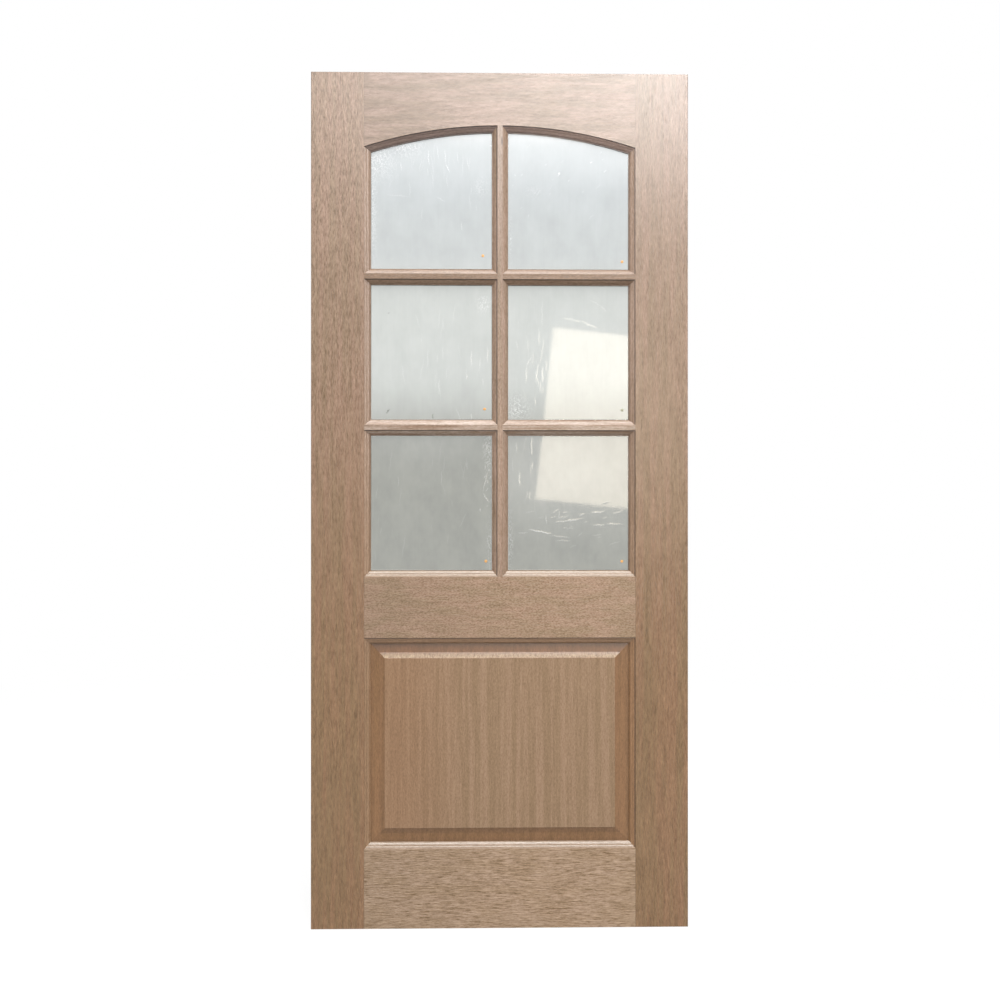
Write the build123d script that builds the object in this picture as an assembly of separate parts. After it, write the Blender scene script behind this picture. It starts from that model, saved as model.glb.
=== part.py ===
# Glazed timber door leaf: two stiles, three rails, a raised panel and an
# arch-headed light of six panes divided by moulded glazing bars.
# Millimetres. X runs from the hinge edge to the lock edge, Z is up,
# the moulded face that is seen first looks along -Y.
import os
from math import asin, degrees, sqrt

from build123d import *

os.makedirs("parts", exist_ok=True)

# Leaf
leaf_width = 900.0
leaf_height = 2040.0
leaf_thickness = 45.0
arris_radius = 1.5

# Stiles and rails, measured on their flat faces
stile_width = 126.0
bottom_rail_height = 189.0
panel_opening_height = 503.0
lock_rail_height = 145.0
top_rail_at_crown = 125.0
arch_radius = 1040.0

# Sticking, the moulded edge of stiles and rails: a quirk, two rounds and a lip
sticking_width = 15.0
sticking_depth = 13.5
quirk_depth = 2.5
quirk_slope = 0.6
outer_round_width = 5.2
outer_round_drop = 2.0
outer_round_bow = 0.45
round_step = 1.2
round_step_slope = 0.4
inner_round_width = 8.0
inner_round_drop = 5.9
inner_round_bow = 1.5

# Glazing bars: a flat between two mouldings, each a quirk, one round and a lip
bar_flat = 12.5
bar_moulding_width = 12.5
bar_round_width = 11.0
bar_round_drop = 8.8
bar_round_bow = 1.0
crown_row_gain = 4.0

# Glass
glass_thickness = 6.0
glass_edge_clearance = 2.0

# Glazing beads on the far face
bead_wall_clearance = 0.3
bead_setback = 0.5

# Raised panel
panel_field_setback = 4.5
panel_edge_clearance = 3.0
panel_lip_clearance = 0.3
panel_tongue_taper = 1.5
bevel_width = 20.5
bevel_rise = 3.0
shoulder_width = 13.5
shoulder_hollow = 0.5
shoulder_step = 0.4

# Positions that follow from the sizes
front = -leaf_thickness / 2
back = leaf_thickness / 2
glass_front = front + sticking_depth
glass_back = glass_front + glass_thickness
opening_left = stile_width
opening_right = leaf_width - stile_width
opening_width = opening_right - opening_left
middle = leaf_width / 2
panel_bottom = bottom_rail_height
panel_top = panel_bottom + panel_opening_height
light_bottom = panel_top + lock_rail_height
crown = leaf_height - top_rail_at_crown
arch_centre = crown - arch_radius
spring = arch_centre + sqrt(arch_radius**2 - (opening_width / 2) ** 2)
bar_width = bar_flat + 2 * bar_moulding_width
light_height = crown - light_bottom
row_height = (light_height - 2 * sticking_width - 2 * bar_width - crown_row_gain) / 3
lower_bar = light_bottom + sticking_width + row_height + bar_width / 2
upper_bar = lower_bar + row_height + bar_width
web_left = middle - bar_flat / 2
web_right = middle + bar_flat / 2

RIGHT = Vector(1, 0, 0)
LEFT = Vector(-1, 0, 0)
UP = Vector(0, 0, 1)
DOWN = Vector(0, 0, -1)
FROM_FRONT = Vector(0, 1, 0)
FROM_BACK = Vector(0, -1, 0)


def export(name, solid):
    solid.label = name
    export_step(solid, f"parts/{name}.step")


def block(x0, x1, y0, y1, z0, z1):
    """Square-edged timber between two opposite corners."""
    corner = (Align.MIN, Align.MIN, Align.MIN)
    return Pos(x0, y0, z0) * Box(x1 - x0, y1 - y0, z1 - z0, align=corner)


def moulding_section(corner, across, inward, rounds, width, depth, inset=0.0):
    """Section of a moulded edge, from the flat face down to the lip.

    corner is where the flat face ends, across points into the opening and
    inward points down from the face. Each round is a width, a drop and how
    far it bows out from a straight bevel; inset trims the wall side.
    """

    def at(u, v):
        return Vector(corner) + across * u + inward * v

    rim = quirk_depth * inset / quirk_slope
    u, v = quirk_slope, quirk_depth
    lines = [Line(at(inset, rim), at(u, v))]
    for number, (round_width, drop, bow) in enumerate(rounds):
        if number > 0:
            lines.append(Line(at(u, v), at(u + round_step_slope, v + round_step)))
            u, v = u + round_step_slope, v + round_step
        slant = sqrt(round_width**2 + drop**2)
        out_u = bow * drop / slant
        out_v = bow * round_width / slant
        halfway = at(u + round_width / 2 + out_u, v + drop / 2 - out_v)
        lines.append(ThreePointArc(at(u, v), halfway, at(u + round_width, v + drop)))
        u, v = u + round_width, v + drop
    lines.append(Line(at(u, v), at(width, v)))
    lines.append(Line(at(width, v), at(width, depth)))
    lines.append(Line(at(width, depth), at(inset, depth)))
    lines.append(Line(at(inset, depth), at(inset, rim)))
    return Face(Wire(lines))


frame_rounds = [
    (outer_round_width, outer_round_drop, outer_round_bow),
    (inner_round_width, inner_round_drop, inner_round_bow),
]
bar_rounds = [(bar_round_width, bar_round_drop, bar_round_bow)]


def sticking(corner, across, inward):
    return moulding_section(
        corner, across, inward, frame_rounds, sticking_width, sticking_depth
    )


def bar_moulding(corner, across):
    return moulding_section(
        corner, across, FROM_FRONT, bar_rounds, bar_moulding_width, sticking_depth
    )


# Stiles: full height, moulded on the front all the way up and on the back as
# far as the light, where the back is left open for glass and beads
def stile(outer_edge, inner_edge, into):
    low = min(outer_edge, inner_edge)
    high = max(outer_edge, inner_edge)
    core = block(low, high, front, back, 0, leaf_height)
    uprights = core.edges().filter_by(Axis.Z)
    arrises = uprights.filter_by(lambda edge: abs(edge.center().X - outer_edge) < 1)
    core = fillet(arrises, arris_radius)
    front_edge = sticking((inner_edge, front, 0), into, FROM_FRONT)
    back_edge = sticking((inner_edge, back, 0), into, FROM_BACK)
    core += extrude(front_edge, amount=leaf_height, dir=UP)
    core += extrude(back_edge, amount=light_bottom, dir=UP)
    return core


left_stile = stile(0, opening_left, RIGHT)
right_stile = stile(leaf_width, opening_right, LEFT)
stiles = left_stile + right_stile
export("left_stile", left_stile)
export("right_stile", right_stile)


# Rails: butted between the flats of the stiles, their ends coped over the
# sticking and tongued into the grooves
def rail_edge(height, across, face, inward):
    section = sticking((opening_left, face, height), across, inward)
    return extrude(section, amount=opening_width, dir=RIGHT)


bottom_rail = block(opening_left, opening_right, front, back, 0, panel_bottom)
bottom_rail += rail_edge(panel_bottom, UP, front, FROM_FRONT)
bottom_rail += rail_edge(panel_bottom, UP, back, FROM_BACK)
bottom_rail -= stiles
export("bottom_rail", bottom_rail)

lock_rail = block(opening_left, opening_right, front, back, panel_top, light_bottom)
lock_rail += rail_edge(panel_top, DOWN, front, FROM_FRONT)
lock_rail += rail_edge(panel_top, DOWN, back, FROM_BACK)
lock_rail += rail_edge(light_bottom, UP, front, FROM_FRONT)
lock_rail -= stiles
export("lock_rail", lock_rail)

# Top rail: a deep rail sawn to a segmental arch, with the sticking carried
# round the curve
arch_axis = Axis((middle, 0, arch_centre), (0, 1, 0))


def arch_disc(radius, y0, y1):
    """Round slab about the arch centre."""
    slab = Cylinder(radius, y1 - y0, rotation=(-90, 0, 0))
    return Pos(middle, (y0 + y1) / 2, arch_centre) * slab


def arch_sweep(section):
    """Turn a section drawn at the crown to both sides of it."""
    reach_out = opening_width / 2 + sticking_width
    reach = degrees(asin(reach_out / (arch_radius - sticking_width)))
    turned = revolve(section, arch_axis, revolution_arc=2 * reach)
    return turned.rotate(arch_axis, -reach)


top_rail = block(opening_left, opening_right, front, back, spring, leaf_height)
top_rail -= arch_disc(arch_radius, front - 1, back + 1)
top_rail += arch_sweep(sticking((middle, front, crown), DOWN, FROM_FRONT))
top_rail -= stiles
export("top_rail", top_rail)


# Glazing bars: moulded on the front, a plain web behind between the panes
def upright_bar(centre, bottom, length):
    half = bar_flat / 2
    web = block(centre - half, centre + half, front, back, bottom, bottom + length)
    right_edge = bar_moulding((centre + half, front, bottom), RIGHT)
    left_edge = bar_moulding((centre - half, front, bottom), LEFT)
    web += extrude(right_edge, amount=length, dir=UP)
    web += extrude(left_edge, amount=length, dir=UP)
    return web


def level_bar(centre, start, length):
    half = bar_flat / 2
    web = block(start, start + length, front, back, centre - half, centre + half)
    top_edge = bar_moulding((start, front, centre + half), UP)
    bottom_edge = bar_moulding((start, front, centre - half), DOWN)
    web += extrude(top_edge, amount=length, dir=RIGHT)
    web += extrude(bottom_edge, amount=length, dir=RIGHT)
    return web


vertical_bar = upright_bar(middle, light_bottom, light_height)
vertical_bar -= lock_rail
vertical_bar -= top_rail
export("vertical_bar", vertical_bar)

for level, height in {"upper": upper_bar, "lower": lower_bar}.items():
    for side, start in {"left": opening_left, "right": web_right}.items():
        cross_bar = level_bar(height, start, web_left - opening_left)
        cross_bar -= stiles
        cross_bar -= vertical_bar
        export(f"{level}_{side}_bar", cross_bar)

# Raised panel: one profile across and one up, their overlap giving mitred
# corners, held loose in the grooves
panel_field = leaf_thickness / 2 - panel_field_setback
panel_lip = leaf_thickness / 2 - sticking_depth - panel_lip_clearance
panel_tip = panel_lip - panel_tongue_taper
bevel_top = panel_lip + bevel_rise
shoulder_top = panel_field - shoulder_step
tongue_length = sticking_width - panel_edge_clearance


def panel_blank(low, high, run, run_start, run_length):
    """Panel profile between two edges, the same on both faces, drawn out along run."""
    bevel_foot = tongue_length + bevel_width
    field_edge = bevel_foot + shoulder_width
    bend_in = bevel_foot + shoulder_width / 2
    bend_up = (bevel_top + shoulder_top) / 2 - shoulder_hollow
    half_way = (high - low) / 2

    def quarter(edge, inward, face):
        def at(distance, half):
            place = edge + inward * distance
            if run.X:
                return Vector(run_start, face * half, place)
            return Vector(place, face * half, run_start)

        return [
            Line(at(0, 0), at(0, panel_tip)),
            Line(at(0, panel_tip), at(tongue_length, panel_lip)),
            Line(at(tongue_length, panel_lip), at(bevel_foot, bevel_top)),
            ThreePointArc(
                at(bevel_foot, bevel_top),
                at(bend_in, bend_up),
                at(field_edge, shoulder_top),
            ),
            Line(at(field_edge, shoulder_top), at(field_edge, panel_field)),
            Line(at(field_edge, panel_field), at(half_way, panel_field)),
        ]

    outline = []
    for face in (-1, 1):
        outline += quarter(low, 1, face)
        outline += quarter(high, -1, face)
    return extrude(Face(Wire(outline)), amount=run_length, dir=run)


panel_left = opening_left + panel_edge_clearance
panel_right = opening_right - panel_edge_clearance
panel_low = panel_bottom + panel_edge_clearance
panel_high = panel_top - panel_edge_clearance
panel_width = panel_right - panel_left
panel_height = panel_high - panel_low
across_profile = panel_blank(panel_left, panel_right, UP, panel_low, panel_height)
upright_profile = panel_blank(panel_low, panel_high, RIGHT, panel_left, panel_width)
raised_panel = across_profile & upright_profile
export("raised_panel", raised_panel)

# Panes: bedded against the back of the mouldings, the top two with arched heads
columns = {"left": (opening_left, web_left), "right": (web_right, opening_right)}
rows = {
    "upper": (upper_bar + bar_flat / 2, crown),
    "middle": (lower_bar + bar_flat / 2, upper_bar - bar_flat / 2),
    "lower": (light_bottom, lower_bar - bar_flat / 2),
}
for row, (z0, z1) in rows.items():
    for side, (x0, x1) in columns.items():
        gap = glass_edge_clearance
        pane = block(x0 + gap, x1 - gap, glass_front, glass_back, z0 + gap, z1 - gap)
        if row == "upper":
            pane &= arch_disc(arch_radius - gap, glass_front, glass_back)
        export(f"{row}_{side}_pane", pane)

# Beads: four strips behind each pane, moulded like the edge in front of them
# and mitred at the corners
bead_face = back - bead_setback
bead_depth = bead_face - glass_back


def bead_section(corner, across, width):
    rounds = frame_rounds if width == sticking_width else bar_rounds
    return moulding_section(
        corner, across, FROM_BACK, rounds, width, bead_depth, bead_wall_clearance
    )


def mitre(solid, outer, inner, toward):
    """Cut a bead on the upright plane through two corners, keeping one side."""
    run = Vector(inner) - Vector(outer)
    normal = run.cross(Vector(0, 1, 0)).normalized()
    if normal.dot(Vector(toward) - Vector(outer)) < 0:
        normal = normal * -1
    return split(solid, bisect_by=Plane(origin=outer, z_dir=normal), keep=Keep.TOP)


def arch_height(x, radius):
    return arch_centre + sqrt(radius**2 - (x - middle) ** 2)


for row, (z0, z1) in rows.items():
    for side, (x0, x1) in columns.items():
        arched = row == "upper"
        left_width = sticking_width if side == "left" else bar_moulding_width
        right_width = sticking_width if side == "right" else bar_moulding_width
        bottom_width = sticking_width if row == "lower" else bar_moulding_width
        top_width = sticking_width if arched else bar_moulding_width
        inner_x0 = x0 + left_width
        inner_x1 = x1 - right_width
        inner_z0 = z0 + bottom_width

        # Corners of the rebate and of the clear glass
        left_top = arch_height(x0, arch_radius) if arched else z1
        right_top = arch_height(x1, arch_radius) if arched else z1
        inner_radius = arch_radius - top_width
        inner_left_top = arch_height(inner_x0, inner_radius) if arched else z1 - top_width
        inner_right_top = arch_height(inner_x1, inner_radius) if arched else z1 - top_width
        low_left = ((x0, 0, z0), (inner_x0, 0, inner_z0))
        low_right = ((x1, 0, z0), (inner_x1, 0, inner_z0))
        high_left = ((x0, 0, left_top), (inner_x0, 0, inner_left_top))
        high_right = ((x1, 0, right_top), (inner_x1, 0, inner_right_top))
        pane_middle = ((x0 + x1) / 2, 0, (z0 + left_top) / 2)

        bottom_bead = extrude(
            bead_section((x0, bead_face, z0), UP, bottom_width), amount=x1 - x0, dir=RIGHT
        )
        bottom_bead = mitre(bottom_bead, *low_left, (pane_middle[0], 0, z0))
        bottom_bead = mitre(bottom_bead, *low_right, (pane_middle[0], 0, z0))
        export(f"{row}_{side}_bottom_bead", bottom_bead)

        if arched:
            top_bead = arch_sweep(bead_section((middle, bead_face, crown), DOWN, top_width))
        else:
            top_bead = extrude(
                bead_section((x0, bead_face, z1), DOWN, top_width), amount=x1 - x0, dir=RIGHT
            )
        top_bead = mitre(top_bead, *high_left, (pane_middle[0], 0, z1))
        top_bead = mitre(top_bead, *high_right, (pane_middle[0], 0, z1))
        export(f"{row}_{side}_top_bead", top_bead)

        left_bead = extrude(
            bead_section((x0, bead_face, z0), RIGHT, left_width), amount=z1 - z0, dir=UP
        )
        left_bead = mitre(left_bead, *low_left, (x0, 0, pane_middle[2]))
        left_bead = mitre(left_bead, *high_left, (x0, 0, pane_middle[2]))
        export(f"{row}_{side}_left_bead", left_bead)

        right_bead = extrude(
            bead_section((x1, bead_face, z0), LEFT, right_width), amount=z1 - z0, dir=UP
        )
        right_bead = mitre(right_bead, *low_right, (x1, 0, pane_middle[2]))
        right_bead = mitre(right_bead, *high_right, (x1, 0, pane_middle[2]))
        export(f"{row}_{side}_right_bead", right_bead)
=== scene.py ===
import math
import bpy
import numpy as np
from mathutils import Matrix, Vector


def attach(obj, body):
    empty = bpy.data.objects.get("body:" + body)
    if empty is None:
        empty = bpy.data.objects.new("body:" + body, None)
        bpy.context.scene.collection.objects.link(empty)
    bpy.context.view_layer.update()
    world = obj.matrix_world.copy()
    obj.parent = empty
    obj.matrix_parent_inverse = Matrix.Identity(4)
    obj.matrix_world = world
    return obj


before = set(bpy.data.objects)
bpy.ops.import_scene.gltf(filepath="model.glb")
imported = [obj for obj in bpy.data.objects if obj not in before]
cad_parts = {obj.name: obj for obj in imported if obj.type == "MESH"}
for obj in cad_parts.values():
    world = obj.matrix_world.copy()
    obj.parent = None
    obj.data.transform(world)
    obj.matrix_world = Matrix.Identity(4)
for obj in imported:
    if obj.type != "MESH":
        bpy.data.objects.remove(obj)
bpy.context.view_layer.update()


# Stiles: two full-height uprights of veneered engineered timber, bare and sanded. Upright straight
# grain runs over the flat faces, with a paler lipping of solid wood along the glazed edge, and the
# two-round moulding is cut into that lipping.
class Tone:
    """A value passing through a finish's nodes. Sums on it add Math nodes."""

    def __init__(self, tree, socket):
        self.tree = tree
        self.socket = socket

    def make(self, kind, settings, sockets, output=0):
        """A new node of this kind, with its settings first and then its sockets' values or links."""
        node = self.tree.nodes.new(kind)
        for name, value in settings.items():
            setattr(node, name, value)
        for key, value in sockets.items():
            if isinstance(value, Tone):
                self.tree.links.new(value.socket, node.inputs[key])
            else:
                node.inputs[key].default_value = value
        return Tone(self.tree, node.outputs[output])

    def sum(self, operation, first, second):
        return self.make("ShaderNodeMath", {"operation": operation}, {0: first, 1: second})

    def __add__(self, other):
        return self.sum("ADD", self, other)

    def __radd__(self, other):
        return self.sum("ADD", other, self)

    def __sub__(self, other):
        return self.sum("SUBTRACT", self, other)

    def __rsub__(self, other):
        return self.sum("SUBTRACT", other, self)

    def __mul__(self, other):
        return self.sum("MULTIPLY", self, other)

    def __rmul__(self, other):
        return self.sum("MULTIPLY", other, self)

    def size(self):
        return self.make("ShaderNodeMath", {"operation": "ABSOLUTE"}, {0: self})

    def axis(self, letter):
        return self.make("ShaderNodeSeparateXYZ", {}, {0: self}, "XYZ".index(letter))

    def step(self, low, high):
        """0 below low, 1 above high, and a smooth rise between."""
        ends = {"Value": self, "From Min": low, "From Max": high}
        return self.make("ShaderNodeMapRange", {"interpolation_type": "SMOOTHSTEP"}, ends)

    def blend(self, first, second):
        """The colour that goes from first to second as this value goes from 0 to 1."""
        return self.make("ShaderNodeMix", {"data_type": "RGBA"}, {0: self, 6: first, 7: second}, 2)

    def multiply(self, amount, colour, other):
        settings = {"data_type": "RGBA", "blend_type": "MULTIPLY"}
        return self.make("ShaderNodeMix", settings, {0: amount, 6: colour, 7: other}, 2)

    def shade(self, colour):
        """This colour made lighter or darker by this value."""
        return self.multiply(1.0, colour, self)

    def tinge(self, colour, red, green, blue):
        """This colour tinged by another colour, as strongly as this value."""
        return self.multiply(self, colour, (red, green, blue, 1.0))


def tint(red, green, blue):
    """A colour as a shader takes it, from the 0 to 255 values that a screen shows."""
    flat = []
    for value in (red, green, blue):
        part = value / 255
        flat.append(part / 12.92 if part <= 0.04045 else ((part + 0.055) / 1.055) ** 2.4)
    return (*flat, 1.0)


def begin_finish(name):
    """A new finish, its shader, and the place on the piece that the finish is worked out from."""
    finish = bpy.data.materials.new(name)
    finish.use_nodes = True
    tree = finish.node_tree
    place = Tone(tree, tree.nodes.new("ShaderNodeTexCoord").outputs["Object"])
    return finish, tree.nodes["Principled BSDF"], place


def feed(shader, **sockets):
    """Link values to the shader's sockets, named with underscores for their spaces."""
    for name, value in sockets.items():
        value.tree.links.new(value.socket, shader.inputs[name.replace("_", " ")])


def grain(place, along, width, length, detail=2.0, roughness=0.5):
    """Noise drawn out along the grain: marks of about this width and length, in metres."""
    stretch = [1.0, 1.0, 1.0]
    stretch["XYZ".index(along)] = width / length
    drawn = place.make("ShaderNodeVectorMath", {"operation": "MULTIPLY"}, {0: place, 1: stretch})
    sockets = {"Vector": drawn, "Scale": 1 / width, "Detail": detail, "Roughness": roughness}
    return place.make("ShaderNodeTexNoise", {}, sockets)


def sway(place, along, drift, width, length):
    """The place moved sideways a little, so that the grain wanders as it runs."""
    across = "Z" if along == "X" else "X"
    push = [0.0, 0.0, 0.0]
    push["XYZ".index(across)] = drift
    wander = grain(place, along, width, length, 1.0) - 0.5
    side = place.make("ShaderNodeVectorMath", {"operation": "SCALE"}, {0: push, "Scale": wander})
    return place.make("ShaderNodeVectorMath", {"operation": "ADD"}, {0: place, 1: side})


def sanded_wood(place, along, pale, deep, figure, fleck, contrast, drift=0.004):
    """Colour, and pores from 0 to 1, of sanded open-pored wood.

    Its two tones lie in patches of figure's width and length, with flecks of fleck's width and
    length over them, then lines and crisp dashes along the grain. contrast says how strongly
    flecks, lines and dashes show. Darker marks are a little redder.
    """
    run = sway(place, along, drift, 0.05, 0.5)
    patches = grain(run, along, *figure, 2.0, 0.55).step(0.36, 0.64)
    flecks = grain(run, along, *fleck, 2.0, 0.75) - 0.5
    lines = grain(run, along, 0.006, 0.06, 3.0, 0.65) - 0.5
    strokes = grain(run, along, 0.0020, 0.024, 1.0, 0.5)
    dark = strokes.step(0.58, 0.63)
    bright = 1 - strokes.step(0.36, 0.43)
    light = flecks * contrast[0] + lines * contrast[1] + (bright * 0.6 - dark) * contrast[2]
    redder = {0: light, 1: (1.0, 1.15, 1.45), 2: (1.0, 1.0, 1.0)}
    scale = light.make("ShaderNodeVectorMath", {"operation": "MULTIPLY_ADD"}, redder)
    return scale.shade(patches.blend(pale, deep)), dark


def finish_wood(shader, colour, pores, gloss):
    """Set colour, sheen and open pores on a wood's shader."""
    sockets = {"Strength": 0.10, "Distance": 0.0001, "Height": 1 - pores}
    feed(shader, Base_Color=colour, Roughness=gloss + pores * 0.05)
    feed(shader, Normal=pores.make("ShaderNodeBump", {}, sockets))
    shader.inputs["Specular IOR Level"].default_value = 0.65


def below_face(place, top, foot):
    """1 between these two depths below the leaf's front or back face, and 0 elsewhere."""
    depth = face_depth - place.axis("Y").size()
    return depth.step(top, top + 0.0004) * (1 - depth.step(foot - 0.0004, foot))


def facing(place, letter):
    """How far the surface faces along this axis, from -1 to 1."""
    return place.make("ShaderNodeTexCoord", {}, {}, "Normal").axis(letter)


def moulding_with_painted_shade(place, colour, quirk_foot=0.0030):
    """A moulding's colour with painted shade on faces turned down or to the left, away from the light:
    darker in the quirk and along the edge by the glass, and redder beside the panel.
    """
    # Painted shade: 1 where the moulding faces down or to the left, away from the lamps.
    shade_side = (0 - facing(place, "X") - facing(place, "Z")).step(0.0, 0.12)
    quirk = below_face(place, 0.0002, quirk_foot)
    by_panel = 1 - place.axis("Z").step(0.80, 0.84)
    lip_shadow = below_face(place, 0.0113, 0.0140) * (1 - by_panel)
    # Painted warm shade on the down- and left-facing moulding beside the panel.
    colour = (by_panel * shade_side).tinge(colour, 1.0, 0.90, 0.76)
    # Painted shadow in the quirk and along the edge by the glass, on the same faces.
    return (1 - (quirk * 0.60 + lip_shadow * 0.50) * shade_side).shade(colour)


def dress(finish, *nodes):
    """Put a finish on these pieces."""
    for node in nodes:
        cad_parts[node].material_slots[0].material = finish


stile_width = 0.126
lipping_width = 0.015
face_depth = 0.0225
leaf_height = 2.04
leaf_middle = 0.45
plain_run = (0.012, 0.3)
fine_fleck = (0.0026, 0.008)
plain_contrast = (1.10, 0.50, 0.07)
bare_sheen = 0.26
stile_finish, shader, place = begin_finish("stile_veneer")
# The veneer and lipping tones are painted paler and greyer toward the head: a painted sheen of the high
# front lamp.
height = place.axis("Z").step(0.4, 1.5)
pink = height.blend(tint(139, 104, 73), tint(147, 118, 97))
khaki = height.blend(tint(131, 102, 69), tint(137, 112, 88))
toward_right = place.axis("X").step(0.4, 0.5)
fine = 1.4 + place.axis("Z").step(0.9, 1.9) * (1.1 - toward_right * 0.9)
stile_contrast = (fine, 0.95, 0.10)
veneer, pores = sanded_wood(place, "Z", pink, khaki, (0.016, 0.45), (0.0022, 0.013), stile_contrast)
pale = height.blend(tint(147, 115, 85), tint(156, 130, 111))
deep = height.blend(tint(140, 109, 78), tint(149, 123, 104))
solid, _ = sanded_wood(place, "Z", pale, deep, plain_run, fine_fleck, plain_contrast)
from_edge = leaf_middle - (place.axis("X") - leaf_middle).size()
lipping_line = stile_width - lipping_width
lipped = from_edge.step(lipping_line, lipping_line + 0.001)
inner = from_edge.step(stile_width - 0.0003, stile_width + 0.0003)
inner = inner * below_face(place, 0.0001, face_depth)
colour = (lipped * 0.12).blend(veneer, solid)
colour = inner.blend(colour, moulding_with_painted_shade(place, solid))
from_end = leaf_height / 2 - (place.axis("Z") - leaf_height / 2).size()
colour = (0.75 + from_end.step(0.0001, 0.0006) * 0.25).shade(colour)
finish_wood(shader, colour, pores, bare_sheen + inner * 0.04)
dress(stile_finish, "left_stile", "right_stile")


# Rails: three level members between the stiles, the top one cut to the arch below. The veneer's
# grain runs level, flowing on the top one, finely wavy on the middle one and coarse with short dark
# dashes on the bottom one. Their ends are coped over the stiles' moulding and glued.
rail_half = 0.324


def rail_finish(name, veneer_tones, edge_tones, figure, fleck, contrast, drift, painted_falloff, edge_painted_falloff=0.0):
    """A rail's finish. Its veneer and its moulding are painted darker to the left by their falloffs: a
    painted shade, as the light comes from the right.
    """
    finish, shader, place = begin_finish(name)
    veneer, pores = sanded_wood(place, "X", *veneer_tones, figure, fleck, contrast, drift)
    veneer = (1 - painted_falloff + place.axis("X").step(0.13, 0.60) * painted_falloff).shade(veneer)
    solid, _ = sanded_wood(place, "X", *edge_tones, plain_run, fine_fleck, plain_contrast)
    solid = (1 - edge_painted_falloff + place.axis("X").step(0.40, 0.62) * edge_painted_falloff).shade(solid)
    level = place.axis("Z")
    inside = level.step(0.003, 0.006) * (1 - level.step(leaf_height - 0.006, leaf_height - 0.003))
    moulded = below_face(place, 0.0001, face_depth) * inside
    # Painted sheen: moulding faces turned up toward the overhead lamps are painted paler and greyer.
    lit_side_highlight = facing(place, "Z").step(0.1, 0.4)
    edge = lit_side_highlight.tinge(moulding_with_painted_shade(place, solid), 1.05, 1.18, 1.29)
    colour = moulded.blend(veneer, edge)
    from_joint = rail_half - (place.axis("X") - leaf_middle).size()
    joint = 1 - from_joint.step(0.0004, 0.0014)
    colour = (1 - joint * 0.28).shade(colour)
    finish_wood(shader, colour, pores, bare_sheen + moulded * 0.04)
    return finish


# The rails' tones are a little paler and greyer than the stiles': partly their own wood, partly a
# painted sheen that level grain catches from the overhead lamps.
flowing, wavy, coarse = (0.020, 0.16), (0.024, 0.08), (0.026, 0.09)
top_tones = tint(155, 127, 108), tint(137, 112, 89)
arch_tones = tint(150, 126, 115), tint(143, 119, 107)
top_veneer = rail_finish(
    "top_rail_veneer", top_tones, arch_tones, flowing, fleck=(0.0030, 0.012),
    contrast=(1.30, 0.90, 0.08), drift=0.012, painted_falloff=0.12, edge_painted_falloff=0.28,
)
dress(top_veneer, "top_rail")
lock_tones = tint(163, 133, 109), tint(152, 126, 99)
lock_edge = tint(153, 126, 103), tint(146, 119, 95)
lock_veneer = rail_finish(
    "lock_rail_veneer", lock_tones, lock_edge, wavy, fleck=(0.0022, 0.0055),
    contrast=(1.75, 0.55, 0.06), drift=0.010, painted_falloff=0.14,
)
dress(lock_veneer, "lock_rail")
bottom_tones = tint(167, 140, 114), tint(162, 135, 107)
bottom_edge = tint(157, 131, 110), tint(150, 124, 102)
bottom_veneer = rail_finish(
    "bottom_rail_veneer", bottom_tones, bottom_edge, coarse, fleck=(0.0022, 0.008),
    contrast=(0.85, 0.25, 0.42), drift=0.004, painted_falloff=0.10,
)
dress(bottom_veneer, "bottom_rail")


# Raised panel: one veneered board held loose in the grooves of stiles and rails. Its upright
# ribbon grain alternates olive and pinkish stripes. The shoulder and bevel are cut round the edge,
# so they show a darker, warmer surface than the field.
panel_finish, shader, place = begin_finish("panel_veneer")
ribbon = (0.016, 0.60)
# The field's tones grow lighter to the right: partly painted light from the right, partly a redder tone
# at the left.
toward_right = place.axis("X").step(0.17, 0.42)
pale = toward_right.blend(tint(149, 115, 84), tint(154, 124, 96))
deep = toward_right.blend(tint(140, 106, 75), tint(140, 112, 82))
field, pores = sanded_wood(place, "Z", pale, deep, ribbon, fine_fleck, (0.90, 0.55, 0.07), 0.003)
cut_tones = tint(136, 99, 64), tint(128, 93, 57)
cut, _ = sanded_wood(place, "Z", *cut_tones, ribbon, fine_fleck, (0.90, 0.60, 0.07), 0.003)
panel_middle = 0.4405
field_half = (0.275, 0.2025)
shoulder_width = 0.0135
bevel_width = 0.0205
over_x = (place.axis("X") - leaf_middle).size() - field_half[0]
over_z = (place.axis("Z") - panel_middle).size() - field_half[1]
beyond = over_x.sum("MAXIMUM", over_x, over_z)
off_field = beyond.step(-0.0004, 0.0006)
colour = off_field.blend(field, cut)
# Painted shade: the bevel's outer edge darkens toward the groove, where shade falls.
rim_shade = beyond.step(shoulder_width + 0.0100, shoulder_width + bevel_width)
above_field = place.axis("Z") - panel_middle - field_half[1]
top_side = (above_field - over_x).step(-0.0003, 0.0003)
on_bevel = above_field.step(shoulder_width - 0.0010, shoulder_width) * top_side
# Painted shadow: the top bevel under the lock rail is darkened, more toward the groove, and tinged
# warmer.
rail_shadow = on_bevel * (0.26 + above_field.step(shoulder_width, shoulder_width + bevel_width) * 0.18)
colour = (1 - rim_shade * 0.14 - rail_shadow).shade(colour)
colour = on_bevel.tinge(colour, 1.04, 0.90, 0.82)
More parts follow.
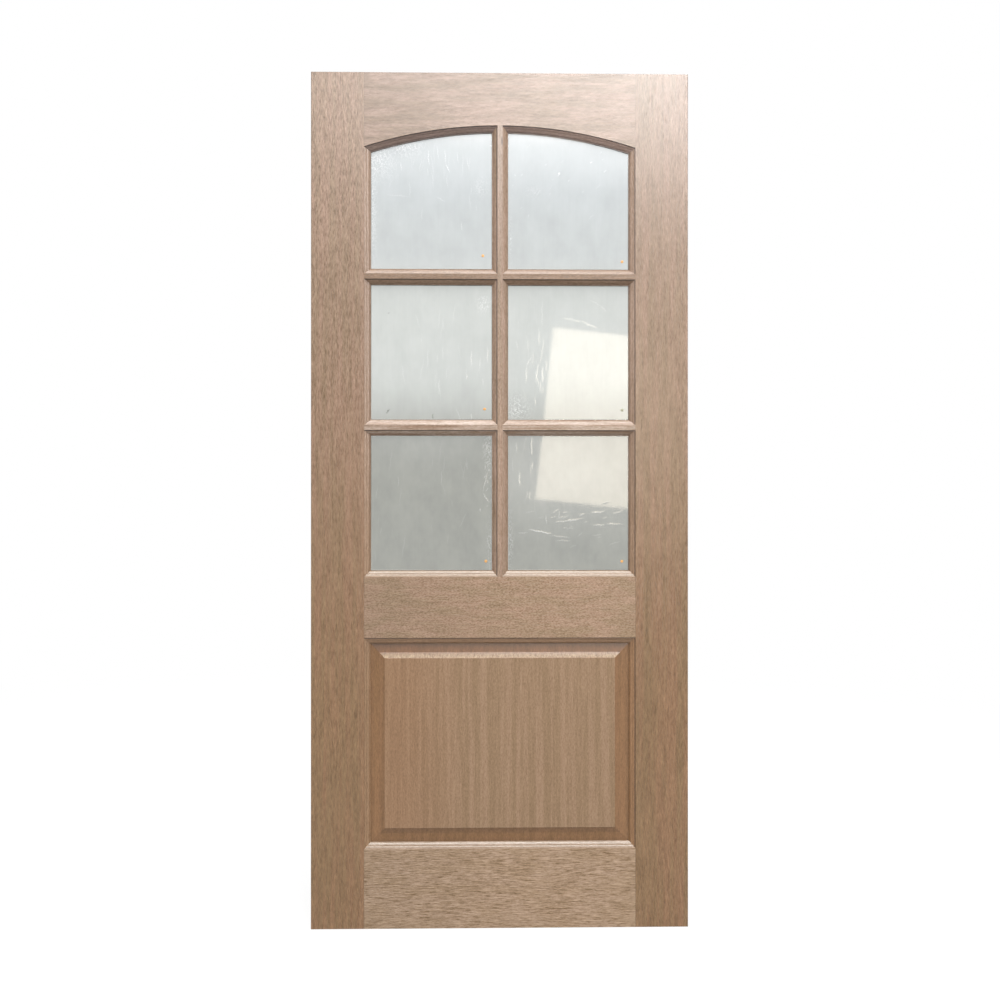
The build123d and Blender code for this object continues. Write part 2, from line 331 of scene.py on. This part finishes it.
# Painted highlight: the top shoulder's upper run, facing the overhead lamps, is painted in paler
# streaky wood.
top_run_highlight = above_field.step(0.0, 0.0015) * (1 - above_field.step(0.0040, shoulder_width)) * top_side
top_run_highlight_tones = tint(158, 131, 98), tint(138, 109, 78)
top_run_highlight_wood, _ = sanded_wood(place, "Z", *top_run_highlight_tones, (0.005, 0.2), fine_fleck, (1.3, 1.1, 0.07))
colour = top_run_highlight.blend(colour, top_run_highlight_wood)
finish_wood(shader, colour, pores, 0.28 + off_field * 0.06)
dress(panel_finish, "raised_panel")


# Glazing bars: one upright bar and four level ones, moulded from solid wood that is a little
# pinker than the veneer. The level bars are coped to the upright and to the stiles.
bar_run = (0.008, 0.2)
bar_contrast = (1.10, 0.50, 0.20)


def bar_finish(name, along, flat, edge):
    """A bar's finish from the tones of its flat and of its moulding. The upright bar has a knot."""
    finish, shader, place = begin_finish(name)
    flat, edge = tint(*flat), tint(*edge)
    face, pores = sanded_wood(place, along, flat, edge, bar_run, fine_fleck, bar_contrast)
    side, _ = sanded_wood(place, along, edge, flat, bar_run, fine_fleck, bar_contrast)
    moulded = below_face(place, 0.0001, face_depth)
    knot_side = 1 - (place.axis("X") - 0.4548).size().step(0.0006, 0.0022)
    knot = knot_side * (1 - (place.axis("Z") - 1.878).size().step(0.004, 0.016))
    face = (1 - knot * 0.6).shade(face)
    colour = moulded.blend(face, moulding_with_painted_shade(place, side, 0.0037))
    finish_wood(shader, colour, pores, bare_sheen + moulded * 0.14)
    return finish


dress(bar_finish("upright_bar_wood", "Z", (147, 123, 102), (158, 130, 111)), "vertical_bar")
upper_bar_finish = bar_finish("upper_bar_wood", "X", (134, 108, 86), (128, 100, 77))
dress(upper_bar_finish, "upper_left_bar", "upper_right_bar")
lower_bar_finish = bar_finish("lower_bar_wood", "X", (166, 145, 129), (140, 112, 90))
dress(lower_bar_finish, "lower_left_bar", "lower_right_bar")


# Panes: six plates of clear 6 mm float glass, the top two cut to the arch, bedded against the
# moulding from behind.
glass_finish, shader, place = begin_finish("float_glass")
shader.inputs["Base Color"].default_value = (0.93, 0.97, 0.95, 1.0)
shader.inputs["Roughness"].default_value = 0.02
shader.inputs["Transmission Weight"].default_value = 1.0
shader.inputs["IOR"].default_value = 1.5
for row in ("upper", "middle", "lower"):
    dress(glass_finish, f"{row}_left_pane", f"{row}_right_pane")


# Protective films: thin milky plastic stuck over the front of each pane, cut a little short of the
# moulding. Each has creases and crinkled corners where it was smoothed on by hand.
film_gap = 0.0014
film_pitch = 0.00125
film_lift = 0.00015
crease_width, crease_rise = 0.0008, 0.0006
glass_front = -0.009
sight = {"left": (0.141, 0.43125), "right": (0.46875, 0.759)}
sill = {"lower": (0.852, 1.175), "middle": (1.2125, 1.5355), "upper": (1.573, None)}
arch_centre, arch_sight = 0.875, 1.025


class Film:
    """A stuck-on film, as a fine net of points with the creases pressed into it."""

    def __init__(self, row, column, seed):
        left, right = (edge + gap for edge, gap in zip(sight[column], (film_gap, -film_gap)))
        bottom, top = sill[row]
        bottom += film_gap
        wide = round((right - left) / film_pitch)
        across = np.linspace(left, right, wide + 1)
        if top is None:
            reach = arch_sight - film_gap
            top = arch_centre + np.sqrt(reach ** 2 - (across - leaf_middle) ** 2)
        else:
            top = np.full(wide + 1, top - film_gap)
        tall = round((top.max() - bottom) / film_pitch)
        up = np.linspace(0, 1, tall + 1)[:, None]
        self.z = bottom + up * (top - bottom)[None, :]
        self.x = np.repeat(across[None, :], tall + 1, axis=0)
        self.marks = {kind: np.zeros_like(self.x) for kind in ("crease", "crinkle", "painted_glow", "scuff")}
        self.draw = np.random.default_rng(seed)
        self.name = f"{row}_{column}_film"

    def fold(self, kind, start, end, wide, strength):
        """Draw one wavering line on the film from one point to another."""
        run_x, run_z = end[0] - start[0], end[1] - start[1]
        long = math.hypot(run_x, run_z)
        off_x = self.x - (start[0] + end[0]) / 2
        off_z = self.z - (start[1] + end[1]) / 2
        run = (off_x * run_x + off_z * run_z) / long
        side = (off_x * run_z - off_z * run_x) / long
        first, second = self.draw.uniform(0, 2 * math.pi, 2)
        side = side + 0.0006 * np.sin(run * 240 + first) + 0.0004 * np.sin(run * 610 + second)
        line = np.exp(-(side / wide) ** 2) * np.clip(1 - (2 * run / long) ** 2, 0, 1)
        line = line * strength * (0.7 + 0.3 * np.sin(run * 1100 + second))
        self.marks[kind] = np.maximum(self.marks[kind], line)

    def crease(self, *folds):
        """Press creases into the film, each from one point to another and about this white."""
        for from_x, from_z, to_x, to_z, white in folds:
            self.fold("crease", (from_x, from_z), (to_x, to_z), crease_width, white)

    def scatter(self, count, middle, spread, length, lean, white):
        """Press this many faint creases into the film about a middle point, leaning from upright."""
        for _ in range(count):
            x, z = self.draw.normal(middle, spread)
            turn = self.draw.normal(lean, 0.2)
            half = length * self.draw.uniform(0.2, 0.7)
            run_x, run_z = half * math.sin(turn), half * math.cos(turn)
            faint = white * self.draw.uniform(0.4, 1.0)
            self.crease((x - run_x, z - run_z, x + run_x, z + run_z, faint))

    def area(self, kind, middle, spread, amount):
        """Make the film crinkled, or whiter with a painted glow, about a middle point."""
        off = ((self.x - middle[0]) / spread[0]) ** 2 + ((self.z - middle[1]) / spread[1]) ** 2
        self.marks[kind] = np.maximum(self.marks[kind], amount * np.exp(-off))

    def build(self):
        """The film as a piece, with its marks kept as attributes of its points."""
        tall, wide = self.x.shape
        depth = glass_front - film_lift - crease_rise * self.marks["crease"]
        points = np.stack([self.x, depth, self.z], axis=-1).reshape(-1, 3)
        number = np.arange(tall * wide).reshape(tall, wide)
        corners = [number[:-1, :-1], number[:-1, 1:], number[1:, 1:], number[1:, :-1]]
        faces = np.stack(corners, axis=-1)
        mesh = bpy.data.meshes.new(self.name)
        mesh.from_pydata(points.tolist(), [], faces.reshape(-1, 4).tolist())
        for kind, amount in self.marks.items():
            mesh.attributes.new(kind, "FLOAT", "POINT").data.foreach_set("value", amount.ravel())
        mesh.shade_smooth()
        piece = bpy.data.objects.new(self.name, mesh)
        bpy.context.scene.collection.objects.link(piece)
        mesh.materials.append(film_finish)
        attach(piece, "root")


film_finish, shader, place = begin_finish("milky_film_with_painted_light")
crease, crinkle, painted_glow, scuff = (
    place.make("ShaderNodeAttribute", {"attribute_name": kind}, {}, "Fac")
    for kind in ("crease", "crinkle", "painted_glow", "scuff")
)
height = place.axis("Z")
# The film's milky tone is its own; its darkening on the lower panes and lightening higher up is painted
# light from above.
film_tone_and_painted_light = height.step(1.11, 1.34).blend(tint(128, 128, 119), tint(191, 194, 191))
film_tone_and_painted_light = height.step(1.50, 1.62).blend(film_tone_and_painted_light, tint(181, 185, 186))
film_tone_and_painted_light = height.step(1.62, 1.80).blend(film_tone_and_painted_light, tint(186, 191, 194))
wash = grain(place, "Z", 0.050, 0.08, 3.0, 0.6) - 0.5
streaks = grain(place, "Z", 0.004, 0.10, 2.0, 0.6) - 0.5
clouds = wash * (0.70 - height.step(1.15, 1.25) * 0.42)
film_tone_and_painted_light = (1 + clouds + streaks * 0.06).shade(film_tone_and_painted_light)
white = tint(248, 249, 249)
# Painted glow: whiter patches near the crown and on the lower panes stand for the lamps' light mirrored
# in the film.
film_tone_and_painted_light = painted_glow.blend(film_tone_and_painted_light, white)
veins = (grain(place, "Z", 0.0060, 0.0085, 3.0, 0.65) - 0.5).size()
crazed = (1 - veins.step(0.004, 0.026)) * crinkle
# Creases and crazing are painted white and more opaque: partly the film's own whitening, partly a
# painted glint.
whitening_and_glint = crease.sum("MAXIMUM", crease, crazed)
colour = whitening_and_glint.blend(film_tone_and_painted_light, white)
colour = scuff.blend(colour, tint(44, 40, 34))
feed(shader, Base_Color=colour, Alpha=0.80 + whitening_and_glint * 0.18 + scuff * 0.18)
shader.inputs["Roughness"].default_value = 0.03
shader.inputs["Specular IOR Level"].default_value = 0.6

film = Film("upper", "left", 11)
film.area("crinkle", (0.155, 1.835), (0.040, 0.040), 0.8)
film.area("crinkle", (0.215, 1.865), (0.045, 0.022), 0.7)
film.area("crinkle", (0.146, 1.72), (0.009, 0.13), 0.6)
film.area("crinkle", (0.405, 1.77), (0.016, 0.022), 0.4)
film.area("painted_glow", (0.40, 1.900), (0.10, 0.024), 0.30)
film.scatter(26, (0.29, 1.80), (0.08, 0.05), 0.040, 0.05, 0.28)
film.crease(
    (0.212, 1.830, 0.214, 1.807, 0.55), (0.277, 1.861, 0.280, 1.819, 0.60),
    (0.245, 1.878, 0.248, 1.859, 0.60), (0.317, 1.861, 0.320, 1.823, 0.45),
    (0.320, 1.826, 0.329, 1.804, 0.75), (0.370, 1.842, 0.377, 1.807, 0.35),
    (0.322, 1.802, 0.324, 1.766, 0.25), (0.277, 1.819, 0.277, 1.795, 0.30),
    (0.224, 1.876, 0.241, 1.854, 0.50), (0.176, 1.751, 0.236, 1.747, 0.22),
    (0.296, 1.747, 0.320, 1.735, 0.30), (0.358, 1.688, 0.359, 1.664, 0.40),
    (0.346, 1.854, 0.351, 1.826, 0.35), (0.298, 1.871, 0.303, 1.835, 0.40),
)
film.build()
film = Film("upper", "right", 12)
film.area("crinkle", (0.53, 1.76), (0.020, 0.014), 0.3)
film.area("crinkle", (0.474, 1.66), (0.006, 0.08), 0.3)
film.area("painted_glow", (0.56, 1.900), (0.11, 0.024), 0.40)
film.scatter(12, (0.60, 1.78), (0.09, 0.05), 0.016, 0.6, 0.25)
film.crease(
    (0.588, 1.797, 0.594, 1.805, 0.90), (0.557, 1.823, 0.561, 1.827, 0.60),
    (0.666, 1.828, 0.671, 1.834, 0.70), (0.691, 1.852, 0.695, 1.857, 0.50),
    (0.698, 1.805, 0.706, 1.813, 0.50), (0.612, 1.783, 0.618, 1.789, 0.40),
    (0.499, 1.798, 0.504, 1.803, 0.50), (0.535, 1.745, 0.547, 1.766, 0.30),
    (0.474, 1.645, 0.477, 1.651, 0.70), (0.484, 1.802, 0.489, 1.797, 0.40),
)
film.build()
film = Film("middle", "left", 13)
film.area("crinkle", (0.410, 1.490), (0.014, 0.018), 0.7)
film.scatter(18, (0.32, 1.36), (0.07, 0.07), 0.045, 0.0, 0.20)
film.crease(
    (0.277, 1.383, 0.277, 1.335, 0.28), (0.300, 1.371, 0.300, 1.347, 0.22),
    (0.313, 1.390, 0.313, 1.356, 0.22), (0.381, 1.380, 0.381, 1.340, 0.55),
    (0.403, 1.361, 0.401, 1.337, 0.35), (0.420, 1.390, 0.420, 1.347, 0.45),
    (0.370, 1.323, 0.370, 1.309, 0.60), (0.409, 1.313, 0.409, 1.294, 0.35),
    (0.304, 1.313, 0.304, 1.271, 0.35), (0.261, 1.409, 0.261, 1.397, 0.20),
    (0.382, 1.228, 0.382, 1.213, 0.40),
)
film.fold("scuff", (0.177, 1.228), (0.187, 1.238), 0.0016, 1.0)
film.fold("scuff", (0.2895, 1.228), (0.2895, 1.213), 0.0012, 0.9)
film.fold("scuff", (0.181, 1.467), (0.187, 1.469), 0.0014, 0.6)
film.build()
film = Film("middle", "right", 14)
film.area("crinkle", (0.490, 1.240), (0.026, 0.026), 0.8)
film.scatter(16, (0.52, 1.38), (0.03, 0.08), 0.050, 0.0, 0.15)
film.crease(
    (0.551, 1.499, 0.551, 1.437, 0.28), (0.543, 1.437, 0.543, 1.390, 0.22),
    (0.525, 1.364, 0.513, 1.342, 0.32), (0.513, 1.344, 0.512, 1.299, 0.34),
    (0.551, 1.342, 0.551, 1.304, 0.35), (0.536, 1.333, 0.536, 1.313, 0.35),
    (0.602, 1.459, 0.645, 1.450, 0.25), (0.645, 1.452, 0.683, 1.435, 0.28),
    (0.664, 1.502, 0.692, 1.487, 0.25), (0.690, 1.490, 0.707, 1.471, 0.30),
    (0.489, 1.404, 0.492, 1.380, 0.30),
)
film.build()
film = Film("lower", "left", 15)
film.area("painted_glow", (0.27, 1.14), (0.14, 0.05), 0.06)
film.area("crinkle", (0.424, 1.14), (0.012, 0.05), 0.45)
film.scatter(20, (0.28, 1.02), (0.08, 0.08), 0.045, 0.0, 0.12)
film.scatter(16, (0.420, 1.08), (0.006, 0.06), 0.010, 0.3, 0.5)
film.area("crinkle", (0.426, 0.90), (0.007, 0.06), 0.4)
film.crease(
    (0.422, 1.094, 0.408, 1.037, 0.40), (0.408, 1.039, 0.425, 1.013, 0.45),
    (0.310, 1.092, 0.310, 1.054, 0.20), (0.207, 1.080, 0.207, 1.051, 0.18),
    (0.370, 1.116, 0.372, 1.092, 0.18), (0.418, 0.935, 0.425, 0.906, 0.35),
)
film.build()
film = Film("lower", "right", 16)
film.area("painted_glow", (0.60, 1.10), (0.22, 0.14), 0.20)
film.area("crinkle", (0.473, 0.92), (0.007, 0.06), 0.5)
film.scatter(24, (0.62, 0.965), (0.07, 0.022), 0.024, 1.3, 0.18)
film.scatter(10, (0.505, 1.10), (0.02, 0.05), 0.045, 0.0, 0.13)
film.crease(
    (0.489, 1.161, 0.489, 1.132, 0.20), (0.525, 1.171, 0.525, 1.128, 0.24),
    (0.496, 1.094, 0.496, 1.051, 0.25), (0.518, 0.950, 0.575, 0.939, 0.85),
    (0.492, 0.942, 0.518, 0.942, 0.30), (0.578, 0.966, 0.640, 0.974, 0.36),
    (0.614, 0.969, 0.640, 0.975, 0.50), (0.640, 0.982, 0.652, 0.988, 0.36),
    (0.673, 0.959, 0.702, 0.961, 0.40), (0.700, 0.963, 0.747, 0.962, 0.24),
    (0.582, 0.923, 0.621, 0.923, 0.25), (0.559, 0.985, 0.563, 0.961, 0.30),
    (0.592, 0.994, 0.592, 0.975, 0.30), (0.668, 0.989, 0.702, 0.993, 0.35),
    (0.568, 0.935, 0.621, 0.930, 0.30),
)
film.build()


# Glazing sealant: a thin dark line in the corner between the moulding and each pane, partly sealant and
# partly a painted shadow along the glass edge. It follows the sight line of the opening, over the arch
# on the top panes.
sealant_shadow_width = 0.0021


def sight_line(row, column, inset):
    """Points round a pane's opening, a little inside its moulding."""
    left, right = sight[column][0] + inset, sight[column][1] - inset
    bottom, top = sill[row]
    bottom += inset
    if top is None:
        reach = arch_sight - inset
        across = np.linspace(right, left, 33)
        head = [(x, arch_centre + math.sqrt(reach ** 2 - (x - leaf_middle) ** 2)) for x in across]
    else:
        head = [(right, top - inset), (left, top - inset)]
    return [(left, bottom), (right, bottom), *head]


def swept_tree(name, finish):
    """Nodes that sweep a small round along the lines of a curve."""
    tree = bpy.data.node_groups.new(name, "GeometryNodeTree")
    tree.interface.new_socket("Lines", in_out="INPUT", socket_type="NodeSocketGeometry")
    radius = tree.interface.new_socket("Radius", in_out="INPUT", socket_type="NodeSocketFloat")
    tree.interface.new_socket("Piece", in_out="OUTPUT", socket_type="NodeSocketGeometry")
    start = tree.nodes.new("NodeGroupInput")
    end = tree.nodes.new("NodeGroupOutput")
    section = tree.nodes.new("GeometryNodeCurvePrimitiveCircle")
    section.inputs["Resolution"].default_value = 8
    sweep = tree.nodes.new("GeometryNodeCurveToMesh")
    whole = tree.nodes.new("GeometryNodeRealizeInstances")
    coat = tree.nodes.new("GeometryNodeSetMaterial")
    coat.inputs["Material"].default_value = finish
    tree.links.new(start.outputs["Lines"], sweep.inputs["Curve"])
    tree.links.new(start.outputs["Radius"], section.inputs["Radius"])
    tree.links.new(section.outputs["Curve"], sweep.inputs["Profile Curve"])
    tree.links.new(sweep.outputs["Mesh"], whole.inputs["Geometry"])
    tree.links.new(whole.outputs["Geometry"], coat.inputs["Geometry"])
    tree.links.new(coat.outputs["Geometry"], end.inputs["Piece"])
    return tree, {"Radius": radius.identifier}


def lines_object(name, lines, closed=False):
    """A curve object with one line for each depth and list of points across and up the leaf."""
    curve = bpy.data.curves.new(name, "CURVE")
    curve.dimensions = "3D"
    for depth, points in lines:
        line = curve.splines.new("POLY")
        line.points.add(len(points) - 1)
        for point, (x, z) in zip(line.points, points):
            point.co = (x, depth, z, 1)
        line.use_cyclic_u = closed
    piece = bpy.data.objects.new(name, curve)
    bpy.context.scene.collection.objects.link(piece)
    return piece


def grow(name, source, tree, sizes):
    """The plain mesh piece that a tree of nodes makes from a source object."""
    maker = source.modifiers.new(name, "NODES")
    maker.node_group = tree
    for identifier, value in sizes.items():
        maker[identifier] = value
    bpy.context.view_layer.update()
    graph = bpy.context.evaluated_depsgraph_get()
    mesh = bpy.data.meshes.new_from_object(source.evaluated_get(graph), depsgraph=graph)
    mesh.name = name
    bpy.data.objects.remove(source)
    piece = bpy.data.objects.new(name, mesh)
    bpy.context.scene.collection.objects.link(piece)
    return piece


sealant_shadow_finish, shader, place = begin_finish("sealant_and_painted_shadow")
# Painted highlight: the line is painted paler where it faces right or up, toward the light. It is also
# paler along the crown right of the bar.
lit_side_highlight = (facing(place, "X") + facing(place, "Z") * 0.5).step(0.1, 0.6)
beside_bar = place.axis("X").step(0.46, 0.50) * (1 - place.axis("X").step(0.62, 0.69))
paler_at_crown = beside_bar * place.axis("Z").step(1.86, 1.88)
colour = grain(place, "Z", 0.004, 0.008).blend(tint(60, 52, 47), tint(80, 71, 65))
feed(shader, Base_Color=lit_side_highlight.sum("MAXIMUM", lit_side_highlight, paler_at_crown).blend(colour, tint(168, 158, 148)))
shader.inputs["Roughness"].default_value = 0.55
tree, ports = swept_tree("sealant_shadow_line", sealant_shadow_finish)
loops = [(glass_front, sight_line(row, column, 0.0004)) for row in sill for column in sight]
lines = lines_object("sealant_shadow_lines", loops, True)
sealant_and_shadow = grow("sealant_and_shadow_bead", lines, tree, {ports["Radius"]: sealant_shadow_width / 2})
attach(sealant_and_shadow, "root")


# Residue dots: a spot of dried amber adhesive near the lower right corner of each film, one of them
# faded to grey. Each is a low round blob that sits on the film.
dot_radius, dot_rise = 0.0034, 0.0005
dot_corner = {
    "upper_left": (0.022, 0.033), "upper_right": (0.0155, 0.020),
    "middle_left": (0.018, 0.026), "middle_right": (0.0155, 0.024),
    "lower_left": (0.015, 0.022), "lower_right": (0.016, 0.0215),
}


def planted_tree(name, finish):
    """Nodes that plant a low round head on each point along the lines of a curve."""
    tree = bpy.data.node_groups.new(name, "GeometryNodeTree")
    tree.interface.new_socket("Lines", in_out="INPUT", socket_type="NodeSocketGeometry")
    sizes = {
        size: tree.interface.new_socket(size, in_out="INPUT", socket_type="NodeSocketFloat").identifier
        for size in ("Radius", "Rise", "Pitch")
    }
    tree.interface.new_socket("Piece", in_out="OUTPUT", socket_type="NodeSocketGeometry")
    start = tree.nodes.new("NodeGroupInput")
    end = tree.nodes.new("NodeGroupOutput")
    spots = tree.nodes.new("GeometryNodeCurveToPoints")
    spots.mode = "LENGTH"
    ball = tree.nodes.new("GeometryNodeMeshUVSphere")
    ball.inputs["Segments"].default_value = 12
    ball.inputs["Rings"].default_value = 6
    ball.inputs["Radius"].default_value = 1.0
    extent = tree.nodes.new("ShaderNodeCombineXYZ")
    head = tree.nodes.new("GeometryNodeTransform")
    plant = tree.nodes.new("GeometryNodeInstanceOnPoints")
    whole = tree.nodes.new("GeometryNodeRealizeInstances")
    coat = tree.nodes.new("GeometryNodeSetMaterial")
    coat.inputs["Material"].default_value = finish
    tree.links.new(start.outputs["Lines"], spots.inputs["Curve"])
    tree.links.new(start.outputs["Pitch"], spots.inputs["Length"])
    for size, axis in (("Radius", "X"), ("Rise", "Y"), ("Radius", "Z")):
        tree.links.new(start.outputs[size], extent.inputs[axis])
    tree.links.new(ball.outputs["Mesh"], head.inputs["Geometry"])
    tree.links.new(extent.outputs["Vector"], head.inputs["Scale"])
    tree.links.new(spots.outputs["Points"], plant.inputs["Points"])
    tree.links.new(head.outputs["Geometry"], plant.inputs["Instance"])
    tree.links.new(plant.outputs["Instances"], whole.inputs["Geometry"])
    tree.links.new(whole.outputs["Geometry"], coat.inputs["Geometry"])
    tree.links.new(coat.outputs["Geometry"], end.inputs["Piece"])
    return tree, sizes


dot_finish, shader, place = begin_finish("amber_residue")
amber = grain(place, "Z", 0.003, 0.003).blend(tint(236, 184, 112), tint(214, 150, 74))
faded = place.axis("X").step(0.70, 0.71) * (1 - (place.axis("Z") - 1.24).size().step(0.02, 0.03))
feed(shader, Base_Color=faded.blend(amber, tint(168, 166, 142)))
shader.inputs["Roughness"].default_value = 0.35
tree, ports = planted_tree("residue_dots", dot_finish)
dot_lines = []
for corner, (from_right, from_bottom) in dot_corner.items():
    row, column = corner.split("_")
    x, z = sight[column][1] - from_right, sill[row][0] + from_bottom
    dot_lines.append((glass_front - 0.0002, [(x, z), (x, z + 0.001)]))
lines = lines_object("dot_lines", dot_lines)
dot_sizes = {ports["Radius"]: dot_radius, ports["Rise"]: dot_rise, ports["Pitch"]: 1.0}
dots = grow("residue_dots", lines, tree, dot_sizes)
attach(dots, "root")


# Glazing beads: four mitred strips of solid wood round the back of each pane, the top ones bent to
# the arch. Small steel pins hold them, their heads just proud of the bead.
def bead_finish(name, along):
    finish, shader, place = begin_finish(name)
    tones = tint(156, 128, 106), tint(147, 119, 96)
    colour, pores = sanded_wood(place, along, *tones, bar_run, fine_fleck, bar_contrast)
    finish_wood(shader, colour, pores, bare_sheen)
    return finish


upright_bead_finish = bead_finish("upright_bead_wood", "Z")
level_bead_finish = bead_finish("level_bead_wood", "X")
for row in sill:
    for column in sight:
        dress(upright_bead_finish, f"{row}_{column}_left_bead", f"{row}_{column}_right_bead")
        dress(level_bead_finish, f"{row}_{column}_top_bead", f"{row}_{column}_bottom_bead")

pin_radius, pin_pitch, pin_inset = 0.0009, 0.12, 0.030
frame_pin, bar_pin = (0.0116, 0.0186), (0.0089, 0.0177)
arched_side_top = 1.80


def pin_lines(row, column):
    """A line of pins along each bead of a pane: its depth, and its points."""
    left, right = sight[column]
    bottom, top = sill[row]
    side_top = top or arched_side_top
    for edge, outward, on_frame in ((left, -1, column == "left"), (right, 1, column == "right")):
        out, depth = frame_pin if on_frame else bar_pin
        x = edge + outward * out
        yield depth, [(x, bottom + pin_inset), (x, side_top - pin_inset)]
    across = np.linspace(left + pin_inset, right - pin_inset, 17)
    out, depth = frame_pin if row == "lower" else bar_pin
    yield depth, [(x, bottom - out) for x in across]
    if top is None:
        reach = arch_sight + frame_pin[0]
        rise = np.sqrt(reach ** 2 - (across - leaf_middle) ** 2)
        yield frame_pin[1], list(zip(across, arch_centre + rise))
    else:
        yield bar_pin[1], [(x, top + bar_pin[0]) for x in across]


pin_finish, shader, place = begin_finish("pin_steel")
feed(shader, Roughness=0.35 + grain(place, "Z", 0.002, 0.002) * 0.2)
shader.inputs["Base Color"].default_value = tint(150, 146, 140)
shader.inputs["Metallic"].default_value = 1.0
tree, ports = planted_tree("bead_pins", pin_finish)
pin_runs = [line for row in sill for column in sight for line in pin_lines(row, column)]
lines = lines_object("pin_lines", pin_runs)
pin_sizes = {ports["Radius"]: pin_radius, ports["Rise"]: pin_radius, ports["Pitch"]: pin_pitch}
pins = grow("bead_pins", lines, tree, pin_sizes)
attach(pins, "root")


# Floor, light and view: a plain pale studio floor and soft lamps. A wide high one in front fades
# downward and to the left, a smaller warm one is mirrored in the panes, and others stand to each
# side, overhead and behind.
def soft_lamp(name, at, aim, size, power, colour=(1, 1, 1), roll=0.0):
    lamp = bpy.data.lights.new(name, "AREA")
    lamp.shape = "RECTANGLE"
    lamp.size, lamp.size_y = size
    lamp.energy = power
    lamp.color = colour
    holder = bpy.data.objects.new(name, lamp)
    bpy.context.scene.collection.objects.link(holder)
    holder.rotation_euler = (Vector(aim) - Vector(at)).to_track_quat("-Z", "Y").to_euler()
    holder.rotation_euler.rotate_axis("Z", roll)
    holder.location = at
    holder.visible_camera = False
    holder.visible_transmission = False
    return lamp


high_lamp = soft_lamp("high_lamp", (0.935, -8.0, 4.82), (0.935, 0, 4.82), (5.07, 2.2), 1400)
high_lamp.use_nodes = True
tree = high_lamp.node_tree
on_lamp = Tone(tree, tree.nodes.new("ShaderNodeNewGeometry").outputs["Parametric"])
feed(tree.nodes["Emission"], Strength=(0.14 + on_lamp.axis("X") * 1.04) * on_lamp.axis("Y"))
warm, lean = (1, 0.88, 0.70), math.radians(-6)
soft_lamp("warm_lamp", (1.49, -8.0, 1.742), (1.49, 0, 1.742), (0.96, 1.51), 34, warm, lean)
soft_lamp("right_lamp", (4.95, -4.5, 2.4), (0.45, 0, 1.0), (1.6, 1.6), 72)
soft_lamp("left_lamp", (-4.05, -4.5, 2.4), (0.45, 0, 1.0), (1.6, 1.6), 25)
soft_lamp("ceiling_lamp", (0.5, -3.25, 8.0), (0.5, -3.25, 0), (4.0, 5.5), 700)
soft_lamp("back_lamp", (0.45, 6.0, 5.0), (0.45, 0, 1.0), (4.0, 3.0), 420)


def white_to_the_eye(tree):
    """1 where a thing is seen straight, mirrored or through glass, and 0 for the light it gives."""
    path = tree.nodes.new("ShaderNodeLightPath")
    rays = [Tone(tree, path.outputs[f"Is {kind} Ray"]) for kind in ("Camera", "Glossy", "Transmission")]
    return rays[0].sum("MAXIMUM", rays[0], rays[1].sum("MAXIMUM", rays[1], rays[2]))


world = bpy.data.worlds.new("studio")
bpy.context.scene.world = world
world.use_nodes = True
background = world.node_tree.nodes["Background"]
background.inputs["Color"].default_value = (1, 1, 1, 1)
ambient = 0.10
feed(background, Strength=ambient + white_to_the_eye(world.node_tree) * (1 - ambient))

floor_half = 400.0
floor_level = -0.0005
corners = ((-1, -1), (1, -1), (1, 1), (-1, 1))
floor_points = [(x * floor_half, y * floor_half, floor_level) for x, y in corners]
floor_mesh = bpy.data.meshes.new("studio_floor")
floor_mesh.from_pydata(floor_points, [], [(0, 1, 2, 3)])
floor = bpy.data.objects.new("studio_floor", floor_mesh)
bpy.context.scene.collection.objects.link(floor)
floor_finish, shader, place = begin_finish("pale_floor")
tree = floor_finish.node_tree
seen = white_to_the_eye(tree)
feed(shader, Base_Color=seen.blend((0.10, 0.10, 0.10, 1), (0.85, 0.85, 0.85, 1)))
shader.inputs["Roughness"].default_value = 0.9
glow = place.make("ShaderNodeEmission", {}, {"Color": (1, 1, 1, 1), "Strength": 1.0})
far = place.make("ShaderNodeVectorMath", {"operation": "LENGTH"}, {0: place}, "Value").step(1.5, 4.5)
share = seen * (0.75 + far * 0.25)
lit = Tone(tree, shader.outputs[0])
mixed = place.make("ShaderNodeMixShader", {}, {0: share, 1: lit, 2: glow})
tree.links.new(mixed.socket, tree.nodes["Material Output"].inputs["Surface"])
floor_mesh.materials.append(floor_finish)

lens = bpy.data.cameras.new("viewer")
lens.sensor_width = 36
lens.lens = 45.27
viewer = bpy.data.objects.new("viewer", lens)
viewer.location = (0.3846, -3.0225, 1.0162)
viewer.rotation_euler = (math.radians(90.085), 0, math.radians(-1.246))
bpy.context.scene.collection.objects.link(viewer)
bpy.context.scene.camera = viewer
bpy.context.scene.view_settings.view_transform = "Standard"
